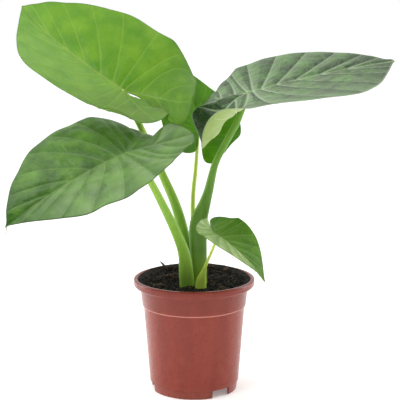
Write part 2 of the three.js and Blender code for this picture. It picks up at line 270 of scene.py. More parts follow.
def crumbly(x, y):
    """Lumps on the soil, in mm: clods about 9 mm across, crumbs about 3 mm and grains about 1 mm."""
    clods = noise.fractal(Vector((x, y, 3)) / 9, 1, 2, 2)
    crumbs = abs(noise.noise(Vector((x, y, 7)) / 3))
    grains = noise.noise(Vector((x, y, 11)) / 1.2)
    return 1.6 * clods + 1.5 * crumbs + 0.5 * grains


def soil_mesh():
    """The heaped surface in rings round the axis, its skirt down the wall, and its flat bottom."""
    points = [Vector((AXIS.x, AXIS.y, soil_height(0, 0) * MM))]
    for ring in range(1, SOIL_RINGS + 1):
        for side in range(SOIL_SIDES):
            angle = math.tau * side / SOIL_SIDES
            out = Vector((math.cos(angle), math.sin(angle)))
            edge = wall_inside(soil_height(*(out * COLLAR_TOP_RADIUS))) + 0.4
            x, y = out * edge * ring / SOIL_RINGS
            z = soil_height(x, y) + crumbly(x, y) * (1 if ring < SOIL_RINGS else 0.3)
            points.append(Vector((x, y, z)) * MM + AXIS)
    for depth in SKIRT:
        for side in range(SOIL_SIDES):
            angle = math.tau * side / SOIL_SIDES
            radius = (wall_inside(depth) - 0.3) * MM
            points.append(Vector((math.cos(angle) * radius, math.sin(angle) * radius, depth * MM)) + AXIS)
    points.append(Vector((AXIS.x, AXIS.y, SOIL_BOTTOM * MM)))
    faces = [(0, 1 + side, 1 + (side + 1) % SOIL_SIDES) for side in range(SOIL_SIDES)]
    for ring in range(SOIL_RINGS + len(SKIRT) - 1):
        first = 1 + ring * SOIL_SIDES
        for side in range(SOIL_SIDES):
            after = (side + 1) % SOIL_SIDES
            below = first + SOIL_SIDES
            faces.append((first + side, below + side, below + after, first + after))
    last = len(points) - 1
    bottom = last - SOIL_SIDES
    faces += [(bottom + (side + 1) % SOIL_SIDES, bottom + side, last) for side in range(SOIL_SIDES)]
    mesh = bpy.data.meshes.new("potting_soil")
    mesh.from_pydata(points, [], faces)
    mesh.shade_smooth()
    return mesh


def damp_peat():
    """Damp black peat: almost no gloss, with brown fibre showing between the crumbs."""
    material, tree = blank_material("Damp peat potting soil")
    place = add(tree, "ShaderNodeTexCoord").outputs["Object"]
    clumps = add(tree, "ShaderNodeTexNoise", {"Vector": place, "Scale": 160.0, "Detail": 5.0}).outputs[0]
    flecks = add(tree, "ShaderNodeTexNoise", {"Vector": place, "Scale": 620.0, "Detail": 3.0}).outputs[0]
    ground = mixed(tree, ranged(tree, clumps, 0.4, 0.68), srgb("#070504"), srgb("#1b130e"))
    brown = mixed(tree, ranged(tree, flecks, 0.6, 0.72, 0.0, 0.6), ground, srgb("#4a3020"))
    bump = add(tree, "ShaderNodeBump", {"Height": flecks, "Strength": 0.6, "Distance": 0.4 * MM}).outputs[0]
    shader = add(tree, "ShaderNodeBsdfPrincipled", {
        "Base Color": brown, "Roughness": ranged(tree, clumps, 0.3, 0.7, 0.75, 0.97), "Normal": bump,
        "Specular IOR Level": 0.3})
    add(tree, "ShaderNodeOutputMaterial", {"Surface": shader.outputs[0]})
    return material


def woody(name, dark, light, grain_mm):
    """Dry bark or root: matt, with a fine grain between a dark and a light brown."""
    material, tree = blank_material(name)
    place = add(tree, "ShaderNodeTexCoord").outputs["Object"]
    grain = add(tree, "ShaderNodeTexNoise",
                {"Vector": place, "Scale": 1 / (grain_mm * MM), "Detail": 4.0}).outputs[0]
    bump = add(tree, "ShaderNodeBump", {"Height": grain, "Strength": 0.5, "Distance": 0.3 * MM}).outputs[0]
    shader = add(tree, "ShaderNodeBsdfPrincipled", {
        "Base Color": mixed(tree, ranged(tree, grain, 0.35, 0.65), srgb(dark), srgb(light)),
        "Roughness": 0.88, "Normal": bump})
    add(tree, "ShaderNodeOutputMaterial", {"Surface": shader.outputs[0]})
    return material


def lump(name, size, detail, seed):
    """An uneven pebble shape with half sizes in mm, for a crumb or a chip."""
    shape = bmesh.new()
    bmesh.ops.create_icosphere(shape, subdivisions=detail, radius=1)
    for vertex in shape.verts:
        push = 1 + 0.45 * noise.noise(vertex.co * 1.3 + Vector((seed, 0, 0)))
        vertex.co = Vector([c * push * s * MM for c, s in zip(vertex.co, size)])
    mesh = bpy.data.meshes.new(name)
    shape.to_mesh(mesh)
    shape.free()
    return mesh


def strand(name, length, radius, sag):
    """A thin curved fibre of four sides, lying along X, in mm."""
    steps = 6
    points = []
    for i in range(steps + 1):
        t = i / steps - 0.5
        width = radius * (1 - 1.6 * abs(t) ** 2)
        for x, z in ((1, 0), (0, 1), (-1, 0), (0, -1)):
            side, rise = sag * math.sin(7 * t), sag * (1 - 4 * t * t)
            points.append(Vector((t * length, x * width + side, z * width + rise)) * MM)
    faces = [(0, 1, 2, 3), tuple(steps * 4 + k for k in (3, 2, 1, 0))]
    for i in range(steps):
        for k in range(4):
            a, b = i * 4 + k, i * 4 + (k + 1) % 4
            faces.append((a, a + 4, b + 4, b))
    mesh = bpy.data.meshes.new(name)
    mesh.from_pydata(points, [], faces)
    return mesh


def scatter_tree():
    """Loose bits, scattered over the upward faces of a surface, each turned and sized at random."""
    tree = bpy.data.node_groups.new("Bits strewn on the soil", "GeometryNodeTree")
    sockets = tree.interface
    sockets.new_socket("Geometry", in_out="INPUT", socket_type="NodeSocketGeometry")
    sockets.new_socket("Bit", in_out="INPUT", socket_type="NodeSocketObject")
    sockets.new_socket("Per square metre", in_out="INPUT", socket_type="NodeSocketFloat")
    sockets.new_socket("Smallest", in_out="INPUT", socket_type="NodeSocketFloat")
    sockets.new_socket("Largest", in_out="INPUT", socket_type="NodeSocketFloat")
    sockets.new_socket("Tilt", in_out="INPUT", socket_type="NodeSocketFloat")
    sockets.new_socket("Clear radius", in_out="INPUT", socket_type="NodeSocketFloat")
    sockets.new_socket("Seed", in_out="INPUT", socket_type="NodeSocketInt")
    sockets.new_socket("Skin", in_out="INPUT", socket_type="NodeSocketMaterial")
    sockets.new_socket("Geometry", in_out="OUTPUT", socket_type="NodeSocketGeometry")
    given = add(tree, "NodeGroupInput").outputs
    place = add(tree, "GeometryNodeInputPosition").outputs[0]
    spoke = add(tree, "ShaderNodeVectorMath", {0: place, 1: AXIS}, operation="SUBTRACT").outputs[0]
    level = add(tree, "ShaderNodeVectorMath", {0: spoke, 1: (1, 1, 0)}, operation="MULTIPLY").outputs[0]
    reach = add(tree, "ShaderNodeVectorMath", {0: level}, operation="LENGTH").outputs["Value"]
    height = add(tree, "ShaderNodeSeparateXYZ", {0: place}).outputs["Z"]
    clear = add(tree, "FunctionNodeCompare", {0: reach, 1: given["Clear radius"]}, operation="LESS_THAN")
    high = add(tree, "FunctionNodeCompare", {0: height, 1: (SOIL_TOP - 6) * MM}, operation="GREATER_THAN")
    upper = add(tree, "FunctionNodeBooleanMath", {0: clear.outputs[0], 1: high.outputs[0]})
    points = add(tree, "GeometryNodeDistributePointsOnFaces", {
        "Mesh": given["Geometry"], "Selection": upper.outputs[0], "Density": given["Per square metre"],
        "Seed": given["Seed"]})
    size = add(tree, "FunctionNodeRandomValue",
               {2: given["Smallest"], 3: given["Largest"], "Seed": given["Seed"]}, data_type="FLOAT")
    least = add(tree, "ShaderNodeCombineXYZ", {
        0: add(tree, "ShaderNodeMath", {0: given["Tilt"], 1: -1.0}, operation="MULTIPLY").outputs[0],
        1: add(tree, "ShaderNodeMath", {0: given["Tilt"], 1: -1.0}, operation="MULTIPLY").outputs[0],
        2: 0.0})
    most = add(tree, "ShaderNodeCombineXYZ", {0: given["Tilt"], 1: given["Tilt"], 2: math.tau})
    turn = add(tree, "FunctionNodeRandomValue",
               {0: least.outputs[0], 1: most.outputs[0], "Seed": given["Seed"]}, data_type="FLOAT_VECTOR")
    bit = add(tree, "GeometryNodeObjectInfo", {"Object": given["Bit"]})
    placed = add(tree, "GeometryNodeInstanceOnPoints", {
        "Points": points.outputs["Points"], "Instance": bit.outputs["Geometry"],
        "Rotation": turn.outputs[0], "Scale": size.outputs[1]})
    real = add(tree, "GeometryNodeRealizeInstances", {0: placed.outputs[0]})
    skinned = add(tree, "GeometryNodeSetMaterial", {"Geometry": real.outputs[0], "Material": given["Skin"]})
    add(tree, "NodeGroupOutput", {0: skinned.outputs[0]})
    return tree


def grown(name, start_mesh, tree, **values):
    """A plain mesh object made by a Geometry Nodes tree from a mesh, with the tree's inputs set by name."""
    piece = mesh_object(name, start_mesh)
    modifier = piece.modifiers.new(tree.name, "NODES")
    modifier.node_group = tree
    for item in tree.interface.items_tree:
        if item.in_out == "INPUT" and item.name in values:
            modifier[item.identifier] = values[item.name]
    return settled(piece)


soil = mesh_object("potting_soil", soil_mesh())
peat = damp_peat()
soil.data.materials.append(peat)
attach(soil, "root")
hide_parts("soil")

bark_skin = woody("Pine bark, dry", "#241811", "#4d3322", 1.5)
strewing = scatter_tree()
strewn = (
    ("soil_crumbs", lump("crumb", (1.0, 1.0, 0.8), 1, 2), 90000, 0.5, 1.7, 3.0, 3, peat),
    ("soil_clods", lump("clod", (2.2, 1.8, 1.4), 2, 5), 9000, 0.6, 1.3, 3.0, 5, peat),
    ("soil_bark_bits", lump("bark_bit", (1.9, 0.9, 0.5), 1, 8), 5200, 0.5, 1.5, 0.6, 8, bark_skin),
    ("soil_rust_bits", lump("rust_bit", (1.5, 0.6, 0.4), 1, 4), 3200, 0.5, 1.3, 0.6, 14,
     woody("Composted bark, rust brown", "#4b2a18", "#7a4a2c", 1.0)),
    ("soil_fibres", strand("fibre", 9, 0.16, 1.1), 2300, 0.6, 1.5, 0.5, 21,
     woody("Root fibre, pale", "#6f5a43", "#a8957a", 0.8)),
)
for name, bit_mesh, density, smallest, largest, tilt, seed, skin in strewn:
    bit = mesh_object(bit_mesh.name, bit_mesh)
    piece = grown(name, soil.data.copy(), strewing, **{
        "Bit": bit, "Per square metre": float(density), "Smallest": smallest, "Largest": largest,
        "Tilt": tilt, "Clear radius": (wall_inside(SOIL_TOP) - 2 * largest) * MM, "Seed": seed,
        "Skin": skin})
    bpy.data.objects.remove(bit)
    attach(piece, "root")


# ---------------------------------------------------------------------------------------------------------
# Bark chips: six bits of pine bark and dry peat that lie on the soil. They split along the grain, so their
# faces are streaked and their ends are ragged. The first is a forked splinter that leans on the rim.

chips = [
    {"place": (-41, 57), "lift": 3, "size": (8, 1.7, 1.4), "turn": (0, 40, -30), "fork": (0, 8, 200)},
    {"place": (26, 66), "lift": 1, "size": (4.5, 3.6, 3), "turn": (10, 20, 0)},
    {"place": (46, 54), "lift": 0.6, "size": (5.5, 4, 2.6), "turn": (0, -10, 60)},
    {"place": (-47, -22), "lift": 0.8, "size": (6, 5, 3), "turn": (15, 0, 20)},
    {"place": (-36, 30), "lift": 0.8, "size": (5, 5, 3.5), "turn": (0, 12, 80)},
    {"place": (40, -36), "lift": 0.8, "size": (7, 4, 3), "turn": (-12, 0, -30)},
]


def bark_chip(name, chip, seed):
    """A ragged flake: a pebble with grooves along its length and notched ends. A fork adds a second."""
    shape = bmesh.new()
    x, y = chip["place"]
    middle = Vector((x, y, soil_height(x, y) + chip["lift"]))
    bmesh.ops.create_icosphere(shape, subdivisions=4, radius=1)
    first = len(shape.verts)
    if "fork" in chip:
        bmesh.ops.create_icosphere(shape, subdivisions=4, radius=1)
    for k, vertex in enumerate(shape.verts):
        turn = Euler([math.radians(a) for a in chip["turn" if k < first else "fork"]]).to_matrix()
        p = vertex.co.copy()
        grooves = 0.16 * noise.noise(Vector((p.x * 0.8, p.y * 5, p.z * 5 + seed)))
        ragged = 0.3 * abs(p.x) ** 3 * noise.noise(Vector((seed, p.y * 4, p.z * 4)))
        lumps = 0.2 * noise.noise(p * 1.4 + Vector((seed, seed, 0)))
        p = p * (1 + grooves + lumps)
        p.x *= 1 + ragged
        if "fork" in chip:
            p.x -= 0.55
        local = Vector([c * s for c, s in zip(p, chip["size"])])
        vertex.co = (middle + turn @ local) * MM + AXIS
    mesh = bpy.data.meshes.new(name)
    shape.to_mesh(mesh)
    shape.free()
    mesh.shade_smooth()
    return mesh_object(name, mesh)


for i, chip in enumerate(chips, 1):
    piece = bark_chip(f"bark_{i}", chip, i)
    piece.data.materials.append(bark_skin)
    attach(piece, "root")
    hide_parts(f"bark_chip_{i}")


# ---------------------------------------------------------------------------------------------------------
# Blades: five heart-shaped leaf blades, one thin sheet each, held at the notch by the stalk. Veins run from
# the stalk's end and off the midrib, sunk in the waxy upper skin and raised on the paler underside.
# The upper skin is waxy, with painted grey sheen and painted shade; the underside is paler and matt.

# Each leaf's sizes are in mm and degrees, from the pot's axis. Pairs give its left and right half. The first
# four lines of each place and bend it: the stalk meets it at joint, and the lobe values are for the part
# behind the stalk. They are rounded results of a least-squares fit, a few of them then changed. The other
# lines were chosen one by one. notch is how wide the gap between the lobes stays. ripple, frill, quilt and
# crumple are heights of the relief. bulges move the margin out, each by its place round the outline, its
# spread and its share of the width. bloom and painted_sheen_colour give the painted grey sheen,
# shade, lobe_shade and painted_vein_banding give painted shade; vein_share says how pale the veins are.
leaves = {
    "upper_left": {
        "joint": (-98, 20, 422), "heading": 162, "climb": 30, "roll": -31,
        "length": 240, "lobe": (82, 115), "half_width": (129, 121), "lobe_spread": (-15, -23),
        "nod": 32, "sweep": -42, "twist": -3, "lobe_lift": (34, 53),
        "fold": (10, 18), "curl": (36, -22), "lobe_fold": (-18, 10), "lobe_curl": (58, -90),
        "notch": 0.6, "ripple": 2.0, "frill": 3.4, "quilt": 2.0, "crumple": 0.35, "vein_width": 1.0,
        "tints": ("#7c9c2c", "#4a741c", "#b4cc6c"), "painted_sheen_colour": "#93a07c", "margin": "#3f5220",
        "glow": "#a4d411", "see_through": 0.42, "sheen": 0.03, "vein_share": 0.4,
        "bloom": (0.5, 0.0), "shade": 0.55, "lobe_shade": (0.0, 0.5), "painted_vein_banding": 0.2,
        "bulges": (
            ((0.1, 0.04, 0.02), (0.3, 0.03, 0.015)),
            ((0.07, 0.03, 0.05), (0.16, 0.025, 0.03), (0.215, 0.02, -0.02), (0.28, 0.03, 0.02),
             (0.37, 0.03, 0.02), (0.43, 0.02, -0.015)),
        ),
    },
    "lower_left": {
        "joint": (-89, -82, 350), "heading": 209, "climb": -17, "roll": -13,
        "length": 187, "lobe": (86, 80), "half_width": (110, 112), "lobe_spread": (-11, 23),
        "nod": 31, "sweep": -12, "twist": -17, "lobe_lift": (18, -24),
        "fold": (7, 19), "curl": (4, -29), "lobe_fold": (-30, -22), "lobe_curl": (63, 31),
        "notch": 0.2, "ripple": 3, "frill": 3.0, "quilt": 3.4, "crumple": 0.6, "vein_width": 1.1,
        "tints": ("#6e9c32", "#264a10", "#98b276"), "painted_sheen_colour": "#9fb08c", "margin": "#28371a",
        "glow": "#88b81a", "see_through": 0.34, "sheen": 0.05, "vein_share": 0.4,
        "bloom": (0.5, 0.2), "shade": 0.8, "lobe_shade": (0.0, 0.0), "painted_vein_banding": 0.65,
        "bulges": (
            ((0.25, 0.03, 0.05), (0.305, 0.025, -0.05), (0.35, 0.025, 0.05)),
            ((0.27, 0.06, 0.01), (0.11, 0.05, 0.16), (0.19, 0.05, 0.05)),
        ),
    },
    "right": {
        "joint": (74, -15, 422), "heading": 2, "climb": 16, "roll": 43,
        "length": 236, "lobe": (89, 91), "half_width": (139, 140), "lobe_spread": (7, -12),
        "nod": 48, "sweep": 26, "twist": 13, "lobe_lift": (-33, -27),
        "fold": (-37, 34), "curl": (5, 15), "lobe_fold": (8, -90), "lobe_curl": (-17, 210),
        "notch": 0.15, "ripple": 2, "frill": 3.4, "quilt": 4.6, "crumple": 0.9, "vein_width": 1.7,
        "tints": ("#4a7e26", "#14300c", "#b6caa4"), "painted_sheen_colour": "#a6b696", "margin": "#90a082",
        "glow": "#88b820", "see_through": 0.12, "sheen": 0.02, "vein_share": 0.72,
        "bloom": (0.26, 0.3), "shade": 0.75, "lobe_shade": (0.1, 1.0), "painted_vein_banding": 1.0,
    },
    "back": {
        "joint": (6, 85, 356), "heading": 99, "climb": 50, "roll": 11,
        "length": 121, "lobe": (56, 58), "half_width": (62, 62), "lobe_spread": (8, -7),
        "nod": 13, "sweep": 10, "twist": 11, "lobe_lift": (33, 0),
        "fold": (12, 10), "curl": (4, 7), "lobe_fold": (2, 17), "lobe_curl": (-2, 42),
        "notch": 1, "ripple": 1, "frill": 1.4, "quilt": 1.8, "crumple": 0.3, "vein_width": 1.0,
        "tints": ("#5e9022", "#406418", "#a0c458"), "painted_sheen_colour": "#9fb08c", "margin": "#8fae50",
        "glow": "#88ba10", "see_through": 0.5, "sheen": 0.0, "vein_share": 0.5,
        "bloom": (0.0, 0.0), "shade": 0.5, "lobe_shade": (0.0, 0.0), "painted_vein_banding": 0.5,
    },
    "small": {
        "joint": (30, -45, 232), "heading": -32, "climb": -24, "roll": -4,
        "length": 97, "lobe": (28, 28), "half_width": (53, 53), "lobe_spread": (3, 1),
        "nod": 24, "sweep": 0, "twist": -7, "lobe_lift": (75, 78),
        "fold": (9, 13), "curl": (24, -10), "lobe_fold": (9, 4), "lobe_curl": (-5, -17),
        "notch": 0.2, "ripple": 1, "frill": 0.9, "quilt": 1.6, "crumple": 0.5, "vein_width": 0.8,
        "tints": ("#7aa236", "#3a5e18", "#c3d898"), "painted_sheen_colour": "#d6e0ac", "margin": "#4b5226",
        "glow": "#98cc14", "see_through": 0.42, "sheen": 0.0, "vein_share": 0.6,
        "bloom": (0.05, 1.2), "shade": 0.8, "lobe_shade": (0.0, 0.0), "painted_vein_banding": 0.6,
    },
}

# Half of a blade laid flat, from its tip round to the notch: along the midrib and across it, in shares of
# the blade's length (or the lobe's, behind the stalk) and of its half width.
HALF_OUTLINE = np.array([
    (1.00, 0.00), (0.955, 0.055), (0.86, 0.21), (0.72, 0.45), (0.55, 0.70), (0.36, 0.90), (0.16, 1.00),
    (-0.05, 1.00), (-0.35, 0.93), (-0.68, 0.79), (-0.92, 0.58), (-1.00, 0.36), (-0.90, 0.17), (-0.62, 0.075),
    (-0.30, 0.035), (-0.06, 0.00)])
RIPPLES = 2.5
NOTCH_FROM = 0.72
NOTCH_TO = 0.86
BLADE_THICKNESS = 0.9
VEIN_SINK = 0.45
VEIN_RIDGE = 0.9
CELL = 1.6

# Side veins: how far along the midrib each starts, and how far round the outline from the tip it ends.
SIDE_VEINS = (
    (0.62, 0.1), (0.44, 0.15), (0.29, 0.21), (0.17, 0.275), (0.08, 0.345), (0.03, 0.425), (0.0, 0.51))
# Veins of a lobe: its rib ends at the first number, and each branch leaves it at a share of its length.
LOBE_RIB = 0.70
LOBE_BRANCHES = ((0.22, 0.555), (0.5, 0.625), (0.42, 0.83))
OUTLINE_STEPS = 600
# Small creases between the veins: how far apart along a vein, and how far they run out from it, in mm.
CREASE_GAP = 3.4
CREASE_REACH = 16


def spline(points, t):
    """Points at t, from 0 to 1, on an even Catmull-Rom curve through the given ones."""
    last = len(points) - 1
    place = np.asarray(t) * last
    i = np.clip(place.astype(int), 0, last - 1)
    w = (place - i)[:, None]
    before, start = points[np.maximum(i - 1, 0)], points[i]
    end, after = points[i + 1], points[np.minimum(i + 2, last)]
    lead, trail = (end - before) / 2, (after - start) / 2
    return ((2 * start - 2 * end + lead + trail) * w ** 3
            + (-3 * start + 3 * end - 2 * lead - trail) * w ** 2 + lead * w + start)


def arc(start, rate, distance):
    """Where a curve gets to that starts at angle start and turns by rate radians in each mm."""
    half = rate * distance / 2
    chord = distance * np.sinc(half / np.pi)
    return chord * np.cos(start + half), chord * np.sin(start + half)


def eased(value, high):
    t = np.clip(value / high, 0, 1)
    return t * t * (3 - 2 * t)


def blade_axes(leaf):
    """The blade's own directions at the stalk: ahead to the tip, to its left, and up from its face."""
    heading, climb, roll = (math.radians(leaf[k]) for k in ("heading", "climb", "roll"))
    ahead = np.array((
        math.cos(climb) * math.cos(heading), math.cos(climb) * math.sin(heading), math.sin(climb)))
    level = np.array((-math.sin(heading), math.cos(heading), 0))
    over = np.cross(ahead, level)
    left = level * math.cos(roll) + over * math.sin(roll)
    up = over * math.cos(roll) - level * math.sin(roll)
    return ahead, left, up


def bent(leaf, flat, offset):
    """Places in mm of flat points (x ahead, y to the left) once the blade is bent, moved out by offset."""
    ahead, left, up = blade_axes(leaf)
    x = flat[:, 0]
    y = np.abs(flat[:, 1])
    side = (flat[:, 1] < 0).astype(int)
    sign = np.where(side == 0, 1.0, -1.0)
    paired = ("lobe", "half_width", "lobe_lift", "curl", "lobe_curl", "lobe_spread")
    own = {k: np.take(leaf[k], side) for k in paired}
    back = eased(-x, own["lobe"])
    width = y + np.tan(np.radians(own["lobe_spread"])) * np.maximum(-x, 0) * back
    bend = np.radians(np.where(x >= 0, -leaf["nod"] / leaf["length"], own["lobe_lift"] / own["lobe"]))
    run, rise = arc(0, bend, x)
    pitch = (bend * x)[:, None]
    face = up * np.cos(pitch) - ahead * np.sin(pitch)
    turn = np.radians(leaf["twist"] * x / leaf["length"])[:, None]
    across = left * np.cos(turn) + face * np.sin(turn)
    normal = face * np.cos(turn) - left * np.sin(turn)
    drift = 0.5 * math.radians(leaf["sweep"]) / leaf["length"] * np.maximum(x, 0) ** 2
    folds = [np.radians(leaf["fold"][half] + leaf["lobe_fold"][half] * back) for half in (0, 1)]
    fold = np.where(side == 0, folds[0], folds[1])
    curl = np.radians(own["curl"] + own["lobe_curl"] * back) / own["half_width"]
    out, lift = arc(fold, curl, width)
    own_tilt = sign * (fold + curl * width)
    middle_tilt = (folds[0] - folds[1]) / 2
    near = 1 - eased(y, 5.0)
    tilt = own_tilt * (1 - near) + middle_tilt * near
    return (np.array(leaf["joint"]) + ahead * run[:, None] + up * rise[:, None]
            + across * (drift + sign * out - offset * np.sin(tilt))[:, None]
            + normal * (lift + offset * np.cos(tilt))[:, None])


def flat_outline(leaf, side, t):
    """Points of one half's outline on the flat blade, in mm, at t from the tip to the notch."""
    edge = spline(HALF_OUTLINE, t)
    reach = np.where(edge[:, 0] > 0, leaf["length"], leaf["lobe"][side])
    closing = 1 - (1 - leaf["notch"]) * eased(np.asarray(t) - NOTCH_FROM, NOTCH_TO - NOTCH_FROM)
    across = edge[:, 1] * closing * leaf["half_width"][side]
    for at, spread, height in leaf.get("bulges", ((), ()))[side]:
        across = across * (1 + height * np.exp(-((t - at) / spread) ** 2))
    return np.column_stack((edge[:, 0] * reach, across if side == 0 else -across))


def evenly(points, spacing):
    """The same path with its points about `spacing` apart."""
    steps = np.hypot(*np.diff(points, axis=0).T)
    along = np.concatenate(([0], np.cumsum(steps)))
    count = max(2, int(round(along[-1] / spacing)) + 1)
    at = np.linspace(0, along[-1], count)
    return np.column_stack([np.interp(at, along, points[:, k]) for k in (0, 1)])


def bowed(start, control, end, count=40):
    t = np.linspace(0, 1, count)[:, None]
    return (1 - t) ** 2 * start + 2 * t * (1 - t) * control + t ** 2 * end


def veins_of(leaf):
    """Each vein as (flat path, half width at its start, half width at its end, rank)."""
    length = leaf["length"]
    scale = length / 240 * leaf["vein_width"]
    found = [(np.array([(0.0, 0.0), (length * 0.985, 0.0)]), 1.9 * scale, 0.5, 0)]
    for side in (0, 1):
        paths = []
        for begin, finish in SIDE_VEINS:
            start = np.array((begin * length, 0.0))
            end = flat_outline(leaf, side, np.array([finish]))[0] * (1, 0.965)
            control = np.array((start[0] + 0.42 * (end[0] - start[0]), end[1] * 0.58))
            paths.append(bowed(start, control, end))
        rib_end = flat_outline(leaf, side, np.array([LOBE_RIB]))[0] * 0.94
        rib = bowed(np.zeros(2), rib_end * (0.55, 0.35), rib_end)
        for share, finish in LOBE_BRANCHES:
            start = rib[int(share * (len(rib) - 1))]
            end = flat_outline(leaf, side, np.array([finish]))[0] * (0.97, 0.95)
            paths.append(bowed(start, start * 0.3 + end * 0.7 + (0.06 * length * (finish < 0.7), 0), end))
        found.append((rib, 1.2 * scale, 0.4, 1))
        found += [(path, 1.05 * scale, 0.35, 1) for path in paths]
        for path in paths[:7] + [rib]:
            for share in (0.3, 0.45, 0.6, 0.74, 0.86):
                k = int(share * (len(path) - 1))
                along = path[k + 1] - path[k]
                along /= np.hypot(*along)
                for turn in (38, -42):
                    angle = math.radians(turn)
                    c, s = math.cos(angle), math.sin(angle)
                    way = np.array((along[0] * c - along[1] * s, along[0] * s + along[1] * c))
                    reach = 0.085 * length * (1.15 - share)
                    tip = path[k] + way * reach + along * reach * 0.35
                    found.append((bowed(path[k], path[k] + way * reach * 0.6, tip, 12), 0.5 * scale, 0.2, 2))
    return found


def distance_to(path, points):
    """Distance of each point from a path, how far along it the nearest place is, and whether left of it."""
    start, step = path[:-1], np.diff(path, axis=0)
    share = ((points[:, None] - start) * step).sum(2) / (step ** 2).sum(1)
    share = np.clip(share, 0, 1)
    away = points[:, None] - start - share[..., None] * step
    gap = np.hypot(*np.moveaxis(away, 2, 0))
    best = gap.argmin(1)
    rows = np.arange(len(points))
    away = away[rows, best]
    left = step[best, 0] * away[:, 1] > step[best, 1] * away[:, 0]
    return gap[rows, best], (best + share[rows, best]) / len(step), left


def within(rim, points):
    """Which points lie inside a closed outline."""
    start, end = rim, np.roll(rim, -1, 0)
    x, y = points[:, :1], points[:, 1:]
    spans = (start[:, 1] > y) != (end[:, 1] > y)
    rise = np.where(start[:, 1] == end[:, 1], 1, end[:, 1] - start[:, 1])
    crossing = start[:, 0] + (y - start[:, 1]) / rise * (end[:, 0] - start[:, 0])
    return (spans & (crossing > x)).sum(1) % 2 == 1


def blade_net(leaf, cell):
    """The flat blade as points and triangles whose edges follow its veins."""
    t = np.linspace(0, 1, OUTLINE_STEPS)
    notch = np.array([(-0.06 * min(leaf["lobe"]), 0.0)])
    left = np.vstack((flat_outline(leaf, 0, t)[:-1], notch))
    right = np.vstack((flat_outline(leaf, 1, t)[:-1], notch))
    rim = np.vstack((evenly(left, cell), evenly(right[::-1], cell)[1:-1]))
    points = list(rim)
    lines = []
    midrib = evenly(np.array([notch[0], (leaf["length"], 0.0)]), cell)
    centre = [len(rim) - 1 + k for k in range(len(midrib))]
    centre[0] = int(np.argmin(np.hypot(*(rim - notch[0]).T)))
    centre[-1] = 0
    first = len(points)
    points += list(midrib[1:-1])
    centre[1:-1] = range(first, first + len(midrib) - 2)
    lines += list(zip(centre, centre[1:]))
    for path, _, _, rank in veins_of(leaf)[1:]:
        if rank > 1:
            continue
        walked = evenly(path, cell)[1:]
        first = len(points)
        points += list(walked)
        lines += [(first + k, first + k + 1) for k in range(len(walked) - 1)]
    taken = kdtree.KDTree(len(points))
    for k, p in enumerate(points):
        taken.insert((*p, 0), k)
    taken.balance()
    beside = []
    for path, _, _, rank in veins_of(leaf):
        if rank > 1:
            continue
        walked = evenly(path, cell)
        step = np.gradient(walked, axis=0)
        square = np.column_stack((-step[:, 1], step[:, 0])) / np.hypot(*step.T)[:, None]
        for out in (0.6 * cell, -0.6 * cell):
            beside += [p for p in walked + square * out if taken.find((*p, 0))[2] > 0.5 * cell]
    points += beside
    taken = kdtree.KDTree(len(points))
    for k, p in enumerate(points):
        taken.insert((*p, 0), k)
    taken.balance()
    low, high = rim.min(0), rim.max(0)
    row_gap = cell * math.sqrt(3) / 2
    lattice = np.array([
        (x, y) for j, y in enumerate(np.arange(low[1], high[1], row_gap))
        for x in np.arange(low[0] + (j % 2) * cell / 2, high[0], cell)])
    lattice = lattice[within(rim, lattice)]
    points += [p for p in lattice if taken.find((*p, 0))[2] > 0.62 * cell]
    flat, _, faces, _, _, _ = geometry.delaunay_2d_cdt(
        [Vector(p) for p in points], lines, [list(range(len(rim)))], 1, 1e-4, False)
    flat = np.array([tuple(p) for p in flat])
    faces = np.array([tuple(f) for f in faces])
    return flat, faces[within(rim, flat[faces].mean(1))]


def rim_share(leaf, flat):
    """How far out each flat point is, from stalk at 0 to margin at 1, and its place round the rim."""
    t = np.linspace(0, 1, OUTLINE_STEPS)
    out, along = np.zeros(len(flat)), np.zeros(len(flat))
    for side in (0, 1):
        half = (flat[:, 1] < 0) == bool(side)
        edge = flat_outline(leaf, side, t)
        angles = np.maximum.accumulate(np.arctan2(np.abs(edge[:, 1]), edge[:, 0]))
        angle = np.arctan2(np.abs(flat[half, 1]), flat[half, 0])
        along[half] = np.interp(angle, angles, t)
        out[half] = np.hypot(*flat[half].T) / np.interp(angle, angles, np.hypot(*edge.T))
    return np.clip(out, 0, 1), along


